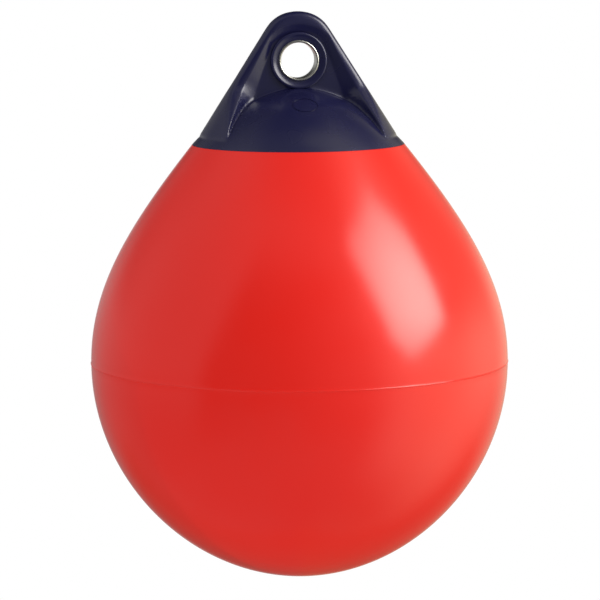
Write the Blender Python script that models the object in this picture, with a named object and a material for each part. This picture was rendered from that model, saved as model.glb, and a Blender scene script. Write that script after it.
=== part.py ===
# Inflatable mooring buoy: a blown-up soft vinyl ball with a solid rope hold moulded on its top.
# Metres, +Z up. The origin is the centre of the rope eye, and the eye runs through along Y.
# Heights below are measured up from the mould seam, the widest ring of the body.

import bpy
from math import asin, atan2, cos, hypot, pi, radians, sin, sqrt, tan
from mathutils import Vector

# Body, the air-filled shell
BODY_RADIUS = 0.140           # at the seam
BODY_DEPTH = 0.1455           # from the seam down to the lowest point
BODY_WALL = 0.003
BELLY_PULL = 0.0508           # how far the upright part of the side reaches up
SHOULDER_PULL = 0.0692        # how far the sloping part reaches down from the collar
SHOULDER_ANGLE = radians(38.3)  # slope of the side at the collar, from upright
BOWL_SIDE_PULL = 0.0786       # how far the upright part of the bowl reaches down
BOWL_FLOOR_PULL = 0.0746      # how far its level part reaches out
SEAM_WIDTH = 0.0012
SEAM_HEIGHT = 0.00035
SEAM_CREST = 0.4              # level part of the seam's ridge, as a share of its width
NECK_RADIUS = 0.042           # opening of the shell under the rope hold

# Rope hold, the collar and its lug
COLLAR_RADIUS = 0.0708
COLLAR_HEIGHT = 0.1461        # where blue meets red
DOME_RISE = 0.0377            # from there to the top of the dome, behind the lug's web
DOME_EDGE_PULL = 0.018
DOME_TOP_PULL = 0.029
DOME_EDGE_ANGLE = radians(42.0)
DOME_TOP_DROP = 0.0008        # the dome's crown is not quite level
SKIRT_THICKNESS = 0.005
UNDERSIDE_RISE = 0.022        # the underside is a shallow vault
EYE_RISE = 0.0181             # from the top of the dome to the eye
LUG_HALF_THICKNESS = 0.0080   # at the rim, from the eye upwards
LUG_FLARE_RADIUS = 0.0550     # the rim sweeps out into the collar
LUG_FLARE_START = 0.0030      # and starts to do so this far below the eye
FLARE_LIMIT = 0.98            # the sweep stops just short of level
WEB_HALF_THICKNESS = 0.0045
RIM_EDGE_RADIUS = 0.0046      # outer edge of the rim
POCKET_EDGE_RADIUS = 0.0012   # inner edge of the rim
POCKET_FOOT_RADIUS = 0.0024   # foot of the pocket's wall
LEAST_RIM = 0.0006            # width of the rim's face where flank and pocket run together
LUG_FOOT_RISE = 0.0039        # the lug starts this far above the joint, inside the collar

# Each outline of the lug is a leg on both sides and a rounded crown:
# how far inside the collar's edge the legs land, then where the legs would cross and where the
# crown is, above the eye, then the radii of crown and corner
FLANK_LINE = (0.0015, 0.0542, 0.0323, 0.0300, 0.0225)
RIM_LINE = (0.0130, 0.0547, 0.0246, 0.0300, 0.0085)
WEB_LINE = (0.0292, 0.0611, 0.0188, 0.0240, 0.0060)

# Boss round the eye, sleeve in it
SLEEVE_CLEAR_RADIUS = 0.0119  # what a rope can use
SLEEVE_WALL = 0.0010
SLEEVE_LIP = 0.0007           # how far each rolled end stands out
BOSS_RADIUS = 0.0190
BOSS_HALF_LENGTH = 0.0072
BOSS_LIP_WIDTH = 0.0026       # rounded ring between the outer edge and the lead-in
LEAD_IN_DEPTH = 0.0016
LEAD_IN_LAND = 0.0008         # flat round the bore, inside the lead-in

# Valve in the back of the collar, blind spot in the front
SPOT_REACH = 0.0336           # from the buoy's axis
SPOT_RADIUS = 0.0087
SPOT_GROOVE = 0.0007
SPOT_GROOVE_DEPTH = 0.0005
SEAT_FLANGE = 0.0022
SEAT_RADIUS = 0.0058
SEAT_LENGTH = 0.0175
SEAT_STANDS = 0.0004          # flange above the collar round it
VALVE_BORE_RADIUS = 0.0034
SCREW_HEAD_RADIUS = 0.0056
SCREW_HEAD = 0.0018
SCREW_LENGTH = 0.0130
SLOT_WIDTH = 0.0013
SLOT_DEPTH = 0.0010
SEAL_THICKNESS = 0.0009
SEAL_MARGIN = 0.0004          # the head covers the seal by this much

SMALL_CHAMFER = 0.0004        # on the valve's edges

GAP = 0.0003                  # between pieces that touch
SPARE = 0.012                 # what a blank or a cutter reaches past the surface that it makes

# What follows from these
DOME_HEIGHT = COLLAR_HEIGHT + DOME_RISE
EYE_HEIGHT = DOME_HEIGHT + EYE_RISE
SLEEVE_RADIUS = SLEEVE_CLEAR_RADIUS + SLEEVE_WALL
BORE_RADIUS = SLEEVE_RADIUS + GAP

# Fineness of the meshes
TURN_STEPS = 64
EYE_STEPS = 48
SMALL_STEPS = 26

RED = (0.70, 0.035, 0.022)
NAVY = (0.016, 0.014, 0.060)
STEEL = (0.62, 0.62, 0.60)
BLACK = (0.02, 0.02, 0.022)


def clear_scene():
    for item in list(bpy.data.objects):
        bpy.data.objects.remove(item, do_unlink=True)


def material(name, colour, roughness, metallic=0.0):
    made = bpy.data.materials.new(name)
    made.use_nodes = True
    shader = made.node_tree.nodes["Principled BSDF"]
    shader.inputs["Base Color"].default_value = (*colour, 1.0)
    shader.inputs["Roughness"].default_value = roughness
    shader.inputs["Metallic"].default_value = metallic
    made.diffuse_color = (*colour, 1.0)
    return made


def up(height):
    """Height over the seam, as a Z in the part's frame."""
    return height - EYE_HEIGHT


def add_mesh(name, points, edges, faces, finish=None):
    mesh = bpy.data.meshes.new(name)
    mesh.from_pydata(points, edges, faces)
    mesh.shade_smooth()
    made = bpy.data.objects.new(name, mesh)
    bpy.context.scene.collection.objects.link(made)
    if finish:
        mesh.materials.append(finish)
    return made


def turned(name, outline, steps, finish=None):
    """A solid of revolution about Z from (radius, z) points that run down its outer side."""
    points = [(radius, 0.0, z) for radius, z in outline]
    edges = [(i, i + 1) for i in range(len(points) - 1)]
    if outline[0][0] > 1e-7:
        edges.append((len(points) - 1, 0))
    made = add_mesh(name, points, edges, [], finish)
    screw = made.modifiers.new("turn", "SCREW")
    screw.steps = steps
    screw.render_steps = steps
    screw.use_merge_vertices = True
    screw.merge_threshold = 0.000005
    return made


def as_tool(made):
    made.hide_render = True
    made.display_type = "WIRE"
    return made


def boolean(target, tool, operation):
    change = target.modifiers.new(f"{operation.lower()} {tool.name}", "BOOLEAN")
    change.operation = operation
    change.object = as_tool(tool)
    change.solver = "EXACT"


def bezier(start, pull_a, pull_b, end, steps):
    points = []
    for i in range(steps + 1):
        t = i / steps
        weights = ((1 - t) ** 3, 3 * t * (1 - t) ** 2, 3 * t * t * (1 - t), t ** 3)
        corners = (start, pull_a, pull_b, end)
        points.append(tuple(sum(w * c[k] for w, c in zip(weights, corners)) for k in (0, 1)))
    return points


def offset(outline, distance):
    """The outline moved to its right-hand side, which for a line down the outer side is inward."""
    moved = []
    for i, (x, z) in enumerate(outline):
        x0, z0 = outline[max(i - 1, 0)]
        x1, z1 = outline[min(i + 1, len(outline) - 1)]
        length = hypot(x1 - x0, z1 - z0)
        moved.append((x + distance * (z1 - z0) / length, z - distance * (x1 - x0) / length))
    return moved


def arc(centre, radius, start, end, steps):
    return [
        (centre[0] + radius * cos(start + (end - start) * i / steps),
         centre[1] + radius * sin(start + (end - start) * i / steps))
        for i in range(steps + 1)
    ]


# Collar: what the shell and the rope hold share

def collar_point(inward, downward):
    """A point at the joint ring: inward through the wall, and downward along the side."""
    across = (-cos(SHOULDER_ANGLE), -sin(SHOULDER_ANGLE))
    down = (sin(SHOULDER_ANGLE), -cos(SHOULDER_ANGLE))
    return (
        COLLAR_RADIUS + across[0] * inward + down[0] * downward,
        COLLAR_HEIGHT + across[1] * inward + down[1] * downward,
    )


def vault(lowering, edge_radius, steps, inner_radius=0.0):
    """The underside's spherical cap, lowered evenly, from its edge to inner_radius."""
    edge = collar_point(SKIRT_THICKNESS, 0.0)
    ball = (edge[0] ** 2 + UNDERSIDE_RISE ** 2) / (2 * UNDERSIDE_RISE)
    centre = edge[1] + UNDERSIDE_RISE - ball
    radius = ball - lowering
    start = asin(edge_radius / radius)
    end = asin(inner_radius / radius)
    turns = [start + (end - start) * i / steps for i in range(steps + 1)]
    return [(radius * sin(turn), centre + radius * cos(turn)) for turn in turns]


def side_outline(steps):
    """The upper side of the body, from the collar down to the seam."""
    slope = (sin(SHOULDER_ANGLE), -cos(SHOULDER_ANGLE))
    start = collar_point(0.0, GAP)
    pull_a = (start[0] + SHOULDER_PULL * slope[0], start[1] + SHOULDER_PULL * slope[1])
    return bezier(start, pull_a, (BODY_RADIUS, BELLY_PULL), (BODY_RADIUS, 0.0), steps)


def bowl_outline(steps):
    """The lower bowl, from the seam down to the lowest point on the axis."""
    side = (BODY_RADIUS, -BOWL_SIDE_PULL)
    floor = (BOWL_FLOOR_PULL, -BODY_DEPTH)
    return bezier((BODY_RADIUS, 0.0), side, floor, (0.0, -BODY_DEPTH), steps)


def make_body(finish):
    side = side_outline(14)
    bowl = bowl_outline(13)
    half = SEAM_WIDTH / 2
    bead = [
        (BODY_RADIUS, half),
        (BODY_RADIUS + SEAM_HEIGHT, half * SEAM_CREST),
        (BODY_RADIUS + SEAM_HEIGHT, -half * SEAM_CREST),
        (BODY_RADIUS, -half),
    ]
    outside = side[:-1] + bead + bowl[1:]

    # The inside runs up from the bottom, a wall's thickness in, to the lip of the neck
    inner_side = offset(side_outline(7), BODY_WALL)
    inner_bowl = offset(bowl_outline(7), BODY_WALL)
    inner_bowl[-1] = (0.0, BODY_WALL - BODY_DEPTH)
    lip_in = vault(GAP + BODY_WALL, inner_side[0][0] - BODY_WALL, 2, NECK_RADIUS)
    inside = inner_bowl[::-1] + inner_side[::-1][1:-1] + lip_in

    # The neck's outside lies against the underside of the rope hold
    shoulder = collar_point(SKIRT_THICKNESS + GAP, GAP)
    lip_out = vault(GAP, shoulder[0], 2, NECK_RADIUS)[::-1]
    outline = [(r, up(z)) for r, z in inside + lip_out[:-1] + [shoulder] + outside]
    return turned("body", outline, TURN_STEPS, finish)


# Rope hold

def dome_outline(steps):
    """The collar's dome from its crown down to the joint with the body."""
    rise = (-sin(DOME_EDGE_ANGLE), cos(DOME_EDGE_ANGLE))
    edge = (COLLAR_RADIUS, COLLAR_HEIGHT)
    pull_edge = (edge[0] + rise[0] * DOME_EDGE_PULL, edge[1] + rise[1] * DOME_EDGE_PULL)
    pull_top = (DOME_TOP_PULL, DOME_HEIGHT - DOME_TOP_DROP)
    return bezier((0.0, DOME_HEIGHT), pull_top, pull_edge, edge, steps)


def dome_blank():
    """The collar as a solid button, with spare stock below that the hollow cuts away."""
    lean = (sin(DOME_EDGE_ANGLE), -cos(DOME_EDGE_ANGLE))
    below = (COLLAR_RADIUS + SPARE * lean[0], COLLAR_HEIGHT + SPARE * lean[1])
    foot = below[1] - SPARE
    outline = dome_outline(10) + [below, (below[0], foot), (0.0, foot)]
    return turned("dome_blank", [(r, up(z)) for r, z in outline], TURN_STEPS)


def hollow_tool():
    """Everything under the skirt and the vaulted underside."""
    rim = collar_point(-3 * SPARE, 0.0)
    edge = collar_point(SKIRT_THICKNESS, 0.0)
    roof = (vault(0.0, edge[0], 2, NECK_RADIUS) + vault(0.0, NECK_RADIUS, 2)[1:])[::-1]
    foot = COLLAR_HEIGHT - 5 * SPARE
    outline = roof + [rim, (rim[0], foot), (0.0, foot)]
    return turned("hollow_tool", [(r, up(z)) for r, z in outline], TURN_STEPS)


def lug_depth(z):
    """Half thickness of the lug's rim: even at the eye, swept out into the collar below it."""
    fall = min(max(-LUG_FLARE_START - z, 0.0), FLARE_LIMIT * LUG_FLARE_RADIUS)
    return LUG_HALF_THICKNESS + LUG_FLARE_RADIUS - sqrt(LUG_FLARE_RADIUS ** 2 - fall ** 2)


def lug_stations(line, leg_steps=12, corner_steps=5, crown_steps=4):
    """Points, outward normals and turning radii along one half of an outline, foot to crown."""
    inset, cross, top, crown, corner = line
    angle = atan2(COLLAR_RADIUS - inset, cross - up(COLLAR_HEIGHT))
    foot = up(COLLAR_HEIGHT + LUG_FOOT_RISE)

    # Where the leg runs into the corner, and the corner into the crown
    h = cross - top + crown
    middle = h * cos(angle)
    reach = h ** 2 + corner ** 2 - 2 * h * corner * sin(angle) - (crown - corner) ** 2
    down = middle - sqrt(middle ** 2 - reach)
    tangent = (down * sin(angle), cross - down * cos(angle))
    centre = (tangent[0] - corner * cos(angle), tangent[1] - corner * sin(angle))
    turn = atan2(centre[1] - (top - crown), centre[0])
    stations = []
    for i in range(leg_steps):
        z = foot + (tangent[1] - foot) * i / leg_steps
        x = (cross - z) * tan(angle)
        stations.append((x, z, cos(angle), sin(angle), x / cos(angle)))
    for i in range(corner_steps + crown_steps + 1):
        if i < corner_steps:
            at = angle + (turn - angle) * i / corner_steps
            x, z = centre[0] + corner * cos(at), centre[1] + corner * sin(at)
        else:
            at = turn + (pi / 2 - turn) * (i - corner_steps) / crown_steps
            x, z = crown * cos(at), top - crown + crown * sin(at)
        stations.append((max(x, 0.0), z, cos(at), sin(at), max(crown, x / max(cos(at), 0.01))))
    last = stations[-1]
    stations[-1] = (0.0, last[1], 0.0, 1.0, crown)
    return stations


def rim_section(flank, rim, web):
    """One cut through the rim: from the flank over the rim's face and down the pocket's wall."""
    base = Vector((flank[0], 0.0, flank[1]))
    outward = Vector((flank[2], 0.0, flank[3]))
    turning = flank[4]

    def rounding(depth):
        """How far a cone of this turning radius falls back at a depth, short of its widest."""
        return turning - sqrt(turning ** 2 - min(depth, 0.9 * turning) ** 2)

    def cut_point(inward, depth):
        return base - outward * inward - Vector((0.0, depth, 0.0))

    depth = LUG_HALF_THICKNESS
    for _ in range(4):
        depth = lug_depth(base.z - rounding(depth) * outward.z)
    straight = depth - RIM_EDGE_RADIUS
    section = [cut_point(rounding(straight * i / 3), straight * i / 3) for i in range(4)]
    for i in range(1, 5):
        turn = 0.5 * pi * i / 4
        y = straight + RIM_EDGE_RADIUS * sin(turn)
        section.append(cut_point(rounding(y) + RIM_EDGE_RADIUS * (1 - cos(turn)), y))

    # The rim's face ends on its own outline, or just inside the flank's edge where they run together
    edge = section[-1]
    rim_at = Vector((rim[0], -lug_depth(rim[1]), rim[1]))
    if (edge - rim_at).dot(outward) < LEAST_RIM:
        rim_at = edge - outward * LEAST_RIM
    web_at = Vector((web[0], -WEB_HALF_THICKNESS, web[1]))
    wall = (web_at - rim_at).normalized()
    inset = min(POCKET_EDGE_RADIUS, 0.45 * (edge - rim_at).length)
    on_face = rim_at + (edge - rim_at).normalized() * inset
    on_wall = rim_at + wall * POCKET_EDGE_RADIUS
    wall_foot = web_at - wall * POCKET_FOOT_RADIUS
    on_web = web_at - outward * POCKET_FOOT_RADIUS
    soft_edge = (on_face + 2 * rim_at + on_wall) / 4
    soft_foot = (wall_foot + 2 * web_at + on_web) / 4
    return section + [on_face, soft_edge, on_wall, wall_foot, soft_foot, on_web]


def lug_quarter(finish):
    """A quarter of the lug, mirrored to both sides and both faces."""
    stations = zip(lug_stations(FLANK_LINE), lug_stations(RIM_LINE), lug_stations(WEB_LINE))
    sections = [rim_section(flank, rim, web) for flank, rim, web in stations]
    rows = len(sections[0])
    points = []
    for section in sections:
        points.extend(tuple(point) for point in section)
    faces = []
    for i in range(len(sections) - 1):
        for j in range(rows - 1):
            a, b = i * rows + j, (i + 1) * rows + j
            faces.append((a, b, b + 1, a + 1))
    # The web between the pocket's wall and the middle, and the hidden foot
    foot_web = len(points)
    points.append((0.0, points[rows - 1][1], points[rows - 1][2]))
    foot_core = len(points)
    points.append((0.0, 0.0, points[0][2]))
    faces.append([foot_web] + [i * rows + rows - 1 for i in range(len(sections))])
    faces.append([foot_core] + list(range(rows)) + [foot_web])
    made = add_mesh("rope_hold", points, [], faces, finish)
    mirror = made.modifiers.new("both sides and faces", "MIRROR")
    mirror.use_axis = (True, True, False)
    mirror.merge_threshold = 0.000005
    return made


def along_eye(made, turn=0.0):
    """Lay a turned piece along the eye, turned on its own axis so that no corners coincide."""
    made.rotation_euler = (pi / 2, turn, 0.0)
    return made


def boss_blank():
    """The boss: a rounded ring on each face, then a lead-in down to the bore."""
    crown = BOSS_HALF_LENGTH - BOSS_LIP_WIDTH / 2
    ring = BOSS_RADIUS - BOSS_LIP_WIDTH / 2
    lip = arc((ring, crown), BOSS_LIP_WIDTH / 2, pi, 0.0, 5)
    land = BORE_RADIUS + LEAD_IN_LAND
    top = [(0.0, BOSS_HALF_LENGTH - LEAD_IN_DEPTH), (land, BOSS_HALF_LENGTH - LEAD_IN_DEPTH)] + lip
    outline = top + [(r, -z) for r, z in top[::-1]]
    return along_eye(turned("boss_blank", outline, EYE_STEPS))


def spot_frame():
    """Place and lean of the valve and of its blind twin, on the dome at SPOT_REACH."""
    outline = dome_outline(200)
    for (r0, z0), (r1, z1) in zip(outline, outline[1:]):
        if r1 >= SPOT_REACH:
            share = (SPOT_REACH - r0) / (r1 - r0)
            return z0 + share * (z1 - z0), atan2(z0 - z1, r1 - r0)
    return outline[-1][1], 0.0


def on_spot(made, side, lift=0.0):
    """Stand a turned piece on the dome: side -1 is the front, +1 the back."""
    height, lean = spot_frame()
    made.rotation_euler = (-side * lean, 0.0, 0.0)
    made.location = (0.0, side * (SPOT_REACH + lift * sin(lean)), up(height) + lift * cos(lean))
    return made


def groove_tool():
    outer = SPOT_RADIUS
    inner = SPOT_RADIUS - SPOT_GROOVE
    floor = -SPOT_GROOVE_DEPTH
    outline = [(inner, SPARE), (outer, SPARE), (outer, floor), (inner, floor)]
    return on_spot(turned("groove_tool", outline, SMALL_STEPS), -1)


def valve_pocket_tool():
    """Room for the valve's seat: its flange in the surface, its bush right through the collar."""
    flange = SPOT_RADIUS + GAP
    bush = SEAT_RADIUS + GAP
    ledge = SEAT_STANDS - SEAT_FLANGE - GAP
    foot = -SEAT_LENGTH - SPARE
    outline = [(0.0, SPARE), (flange, SPARE), (flange, ledge), (bush, ledge), (bush, foot), (0.0, foot)]
    return on_spot(turned("valve_pocket_tool", outline, SMALL_STEPS), 1)


def make_rope_hold(finish):
    hold = lug_quarter(finish)
    boolean(hold, dome_blank(), "UNION")
    boolean(hold, boss_blank(), "UNION")
    boolean(hold, hollow_tool(), "DIFFERENCE")
    reach = BOSS_HALF_LENGTH + SPARE
    bore = [(0.0, reach), (BORE_RADIUS, reach), (BORE_RADIUS, -reach), (0.0, -reach)]
    boolean(hold, along_eye(turned("bore_tool", bore, EYE_STEPS), pi / EYE_STEPS), "DIFFERENCE")
    boolean(hold, groove_tool(), "DIFFERENCE")
    boolean(hold, valve_pocket_tool(), "DIFFERENCE")
    return hold


# Sleeve

def make_sleeve(finish):
    """Thin tube through the eye, its two ends rolled out over the boss's lands."""
    end = BOSS_HALF_LENGTH - LEAD_IN_DEPTH + GAP
    roll = (SLEEVE_WALL + SLEEVE_LIP) / 2
    top = arc((SLEEVE_CLEAR_RADIUS + roll, end), roll, pi, 0.0, 4) + [(SLEEVE_RADIUS, end)]
    outline = top + [(r, -z) for r, z in top[::-1]]
    return along_eye(turned("eye_sleeve", outline, EYE_STEPS, finish))


# Valve

def make_valve(seat_finish, screw_finish, seal_finish):
    top = SEAT_STANDS
    recess = top - SCREW_HEAD - SEAL_THICKNESS
    head_room = SCREW_HEAD_RADIUS + GAP
    seat_outline = [
        (head_room, top),
        (SPOT_RADIUS - SMALL_CHAMFER, top),
        (SPOT_RADIUS, top - SMALL_CHAMFER),
        (SPOT_RADIUS, top - SEAT_FLANGE),
        (SEAT_RADIUS, top - SEAT_FLANGE),
        (SEAT_RADIUS, -SEAT_LENGTH),
        (VALVE_BORE_RADIUS, -SEAT_LENGTH),
        (VALVE_BORE_RADIUS, recess),
        (head_room, recess),
    ]
    on_spot(turned("valve_seat", seat_outline, SMALL_STEPS, seat_finish), 1)
    shank = VALVE_BORE_RADIUS - GAP
    head_foot = recess + SEAL_THICKNESS + 2 * GAP
    screw_outline = [
        (0.0, top),
        (SCREW_HEAD_RADIUS - SMALL_CHAMFER, top),
        (SCREW_HEAD_RADIUS, top - SMALL_CHAMFER),
        (SCREW_HEAD_RADIUS, head_foot),
        (shank, head_foot),
        (shank, -SCREW_LENGTH),
        (0.0, -SCREW_LENGTH - shank),
    ]
    screw = on_spot(turned("valve_screw", screw_outline, SMALL_STEPS, screw_finish), 1)
    bpy.ops.mesh.primitive_cube_add(size=1.0)
    slot = bpy.context.object
    slot.name = "slot_tool"
    slot.scale = (3 * SCREW_HEAD_RADIUS, SLOT_WIDTH, 2 * SLOT_DEPTH)
    on_spot(slot, 1, lift=top)
    boolean(screw, slot, "DIFFERENCE")
    seal_outline = [
        (shank + GAP, recess + GAP + SEAL_THICKNESS),
        (SCREW_HEAD_RADIUS - SEAL_MARGIN, recess + GAP + SEAL_THICKNESS),
        (SCREW_HEAD_RADIUS - SEAL_MARGIN, recess + GAP),
        (shank + GAP, recess + GAP),
    ]
    on_spot(turned("valve_seal", seal_outline, SMALL_STEPS, seal_finish), 1)


clear_scene()
red_vinyl = material("red_vinyl", RED, 0.22)
navy_vinyl = material("navy_vinyl", NAVY, 0.25)
steel = material("steel", STEEL, 0.25, 1.0)
black_nylon = material("black_nylon", BLACK, 0.45)
black_rubber = material("black_rubber", BLACK, 0.7)
make_body(red_vinyl)
make_rope_hold(navy_vinyl)
make_sleeve(steel)
make_valve(black_nylon, black_nylon, black_rubber)
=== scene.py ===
# Looks of an inflatable mooring buoy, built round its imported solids.
# The origin is the centre of the rope eye, and the eye runs through along Y.

from bisect import bisect
from math import asin, atan2, cos, hypot, pi, radians, sin, sqrt, tan

import bpy
from mathutils import Matrix, Vector


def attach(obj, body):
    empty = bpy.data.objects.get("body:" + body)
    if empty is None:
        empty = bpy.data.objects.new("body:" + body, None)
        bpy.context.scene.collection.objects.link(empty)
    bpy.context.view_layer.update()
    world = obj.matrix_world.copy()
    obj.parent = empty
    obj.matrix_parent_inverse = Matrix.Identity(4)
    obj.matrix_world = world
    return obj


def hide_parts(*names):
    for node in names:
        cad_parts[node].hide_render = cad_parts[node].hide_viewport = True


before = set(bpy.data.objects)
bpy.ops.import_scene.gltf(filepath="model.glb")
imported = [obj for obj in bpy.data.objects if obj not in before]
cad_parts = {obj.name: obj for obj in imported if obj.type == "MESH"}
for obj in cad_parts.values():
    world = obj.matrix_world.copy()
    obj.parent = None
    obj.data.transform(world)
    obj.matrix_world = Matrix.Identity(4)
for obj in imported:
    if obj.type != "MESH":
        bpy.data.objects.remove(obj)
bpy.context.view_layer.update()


# Body
# The air-filled shell of soft PVC, rotationally moulded in a two-part mould: glossy, with a faint
# orange peel, and a thin flash line where the two halves of the mould met, round its widest ring.

EYE_HEIGHT = 0.2019           # from the flash line up to the eye; heights are from the flash line
BODY_RADIUS = 0.140
BODY_DEPTH = 0.1455
BODY_WALL = 0.003
BOWL_SIDE_PULL = 0.0786
BOWL_FLOOR_PULL = 0.0746
BELLY_PULL = 0.0508
SHOULDER_PULL = 0.0692
SHOULDER_ANGLE = radians(38.3)
FLASH_WIDTH = 0.0012
FLASH_HEIGHT = 0.00035
COLLAR_RADIUS = 0.0708
COLLAR_HEIGHT = 0.1461
SKIRT_THICKNESS = 0.005
UNDERSIDE_RISE = 0.022
NECK_RADIUS = 0.042
GAP = 0.0003
JOINT = 0.00004               # the weld between the collar and the shell shows no gap
SHOULDER_RINGS = (0.0003, 0.0012)
SHOULDER_LIP = 0.0005
BODY_SEGMENTS = 256
OUTSIDE_STEPS = 56
INSIDE_STEPS = 14
NECK_STEPS = 3
FLASH_STEPS = 5
WELD = 0.000002               # points closer than this are one


def up(height):
    """A height over the flash line as a height over the eye."""
    return height - EYE_HEIGHT


def bezier(start, pull_a, pull_b, end, steps):
    """Points along a curve from start to end, drawn towards the two pulls."""
    points = []
    for i in range(steps + 1):
        t = i / steps
        weights = ((1 - t) ** 3, 3 * t * (1 - t) ** 2, 3 * t * t * (1 - t), t ** 3)
        corners = (start, pull_a, pull_b, end)
        points.append(tuple(sum(w * c[k] for w, c in zip(weights, corners)) for k in (0, 1)))
    return points


def inward(outline, distance):
    """The outline moved to the right of its own direction, which is into the solid."""
    moved = []
    for i, (x, z) in enumerate(outline):
        x0, z0 = outline[max(i - 1, 0)]
        x1, z1 = outline[min(i + 1, len(outline) - 1)]
        length = hypot(x1 - x0, z1 - z0)
        moved.append((x + distance * (z1 - z0) / length, z - distance * (x1 - x0) / length))
    return moved


def collar_point(across, along):
    """A point at the joint ring: across through the wall, and along down the side."""
    return (COLLAR_RADIUS - cos(SHOULDER_ANGLE) * across + sin(SHOULDER_ANGLE) * along,
            COLLAR_HEIGHT - sin(SHOULDER_ANGLE) * across - cos(SHOULDER_ANGLE) * along)


def vault(lowering, start_radius, end_radius, steps):
    """The shallow vault under the rope hold, lowered evenly."""
    edge = collar_point(SKIRT_THICKNESS, 0.0)
    ball = (edge[0] ** 2 + UNDERSIDE_RISE ** 2) / (2 * UNDERSIDE_RISE)
    radius = ball - lowering
    start, end = asin(start_radius / radius), asin(end_radius / radius)
    turns = [start + (end - start) * i / steps for i in range(steps + 1)]
    return [(radius * sin(a), edge[1] + UNDERSIDE_RISE - ball + radius * cos(a)) for a in turns]


def side_outline(steps):
    """The body's outside from the collar's edge down to the flash line."""
    start = collar_point(0.0, JOINT)
    pull = (start[0] + SHOULDER_PULL * sin(SHOULDER_ANGLE), start[1] - SHOULDER_PULL * cos(SHOULDER_ANGLE))
    return bezier(start, pull, (BODY_RADIUS, BELLY_PULL), (BODY_RADIUS, 0.0), steps)


def bowl_outline(steps):
    """The body's outside from the flash line down to its lowest point."""
    return bezier((BODY_RADIUS, 0.0), (BODY_RADIUS, -BOWL_SIDE_PULL), (BOWL_FLOOR_PULL, -BODY_DEPTH),
                  (0.0, -BODY_DEPTH), steps)


def drawn(name, points):
    """A line drawn point by point: one vertex, extruded from each point to the next."""
    bpy.ops.object.select_all(action="DESELECT")
    bpy.ops.mesh.primitive_plane_add(size=0.001)
    made = bpy.context.object
    made.name = made.data.name = name
    bpy.ops.object.mode_set(mode="EDIT")
    bpy.ops.mesh.select_all(action="SELECT")
    bpy.ops.mesh.merge(type="CENTER")
    bpy.ops.transform.translate(value=points[0])
    for a, b in zip(points, points[1:]):
        step = [q - p for p, q in zip(a, b)]
        bpy.ops.mesh.extrude_vertices_move(TRANSFORM_OT_translate={"value": step})
    return made


def turned(name, outline, segments):
    """A turned piece: an outline of (radius, height) drawn beside the axis, then spun round it."""
    made = drawn(name, [(r, 0.0, z) for r, z in outline])
    bpy.ops.mesh.select_all(action="SELECT")
    bpy.ops.mesh.spin(steps=segments, angle=2 * pi, center=(0, 0, 0), axis=(0, 0, 1))
    bpy.ops.mesh.select_all(action="SELECT")
    bpy.ops.mesh.remove_doubles(threshold=WELD)
    bpy.ops.mesh.normals_make_consistent(inside=False)
    bpy.ops.object.mode_set(mode="OBJECT")
    bpy.ops.object.shade_smooth()
    return made


def finish_with(made, kind, **settings):
    """Add a modifier with its settings and apply it."""
    bpy.ops.object.select_all(action="DESELECT")
    bpy.context.view_layer.objects.active = made
    made.select_set(True)
    bpy.ops.object.modifier_add(type=kind)
    change = made.modifiers[-1]
    for name, value in settings.items():
        setattr(change, name, value)
    bpy.ops.object.modifier_apply(modifier=change.name)


# the skin in one line, from the bottom's inside up to the neck and down the outside again, with three
# rings close together where the shoulder starts, so that it starts crisp
side = side_outline(OUTSIDE_STEPS)
near = [collar_point(0.0, JOINT + along) for along in SHOULDER_RINGS]
bowl = bowl_outline(OUTSIDE_STEPS)
flash = [(BODY_RADIUS + 0.5 * FLASH_HEIGHT * (1 + cos(pi * i / FLASH_STEPS)),
          -0.5 * FLASH_WIDTH * i / FLASH_STEPS) for i in range(-FLASH_STEPS, FLASH_STEPS + 1)]
inner_side = inward(side_outline(INSIDE_STEPS), BODY_WALL)
inner_bowl = inward(bowl_outline(INSIDE_STEPS), BODY_WALL)[:-1] + [(0.0, BODY_WALL - BODY_DEPTH)]
shoulder = collar_point(SKIRT_THICKNESS + GAP, JOINT)
lip_in = vault(GAP + BODY_WALL, inner_side[0][0] - BODY_WALL, NECK_RADIUS, NECK_STEPS)
lip_out = vault(GAP, shoulder[0], NECK_RADIUS, NECK_STEPS)[::-1]
skin = inner_bowl[::-1] + inner_side[::-1][1:-1] + lip_in + lip_out[:-1] + [shoulder]
skin += [collar_point(SHOULDER_LIP, JOINT), side[0]] + near + side[1:-1] + flash + bowl[1:]
body = turned("body_shell", [(r, up(z)) for r, z in skin], BODY_SEGMENTS)
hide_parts("body")
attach(body, "root")


def linear(code):
    """An sRGB hex colour as linear red, green, blue and alpha."""
    parts = [int(code[i:i + 2], 16) / 255 for i in (1, 3, 5)]
    return [p / 12.92 if p <= 0.04045 else ((p + 0.055) / 1.055) ** 2.4 for p in parts] + [1.0]


def add_node(tree, kind, settings, links):
    """One node: its settings, its input values by name or number, and links from (node, output) pairs."""
    node = tree.nodes.new(kind)
    for name, value in settings.items():
        if isinstance(name, int) or name in node.inputs:
            node.inputs[name].default_value = value
        else:
            setattr(node, name, value)
    for name, (source, output) in links.items():
        tree.links.new(source.outputs[output], node.inputs[name])
    return node


def new_material(name):
    """A material with an empty node tree."""
    made = bpy.data.materials.new(name)
    made.use_nodes = True
    made.node_tree.nodes.clear()
    return made


PVC_IOR = 1.53
BODY_RED = "#E01B0F"
ORANGE_PEEL = 0.0016
SHRINKAGE = 0.035

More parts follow.
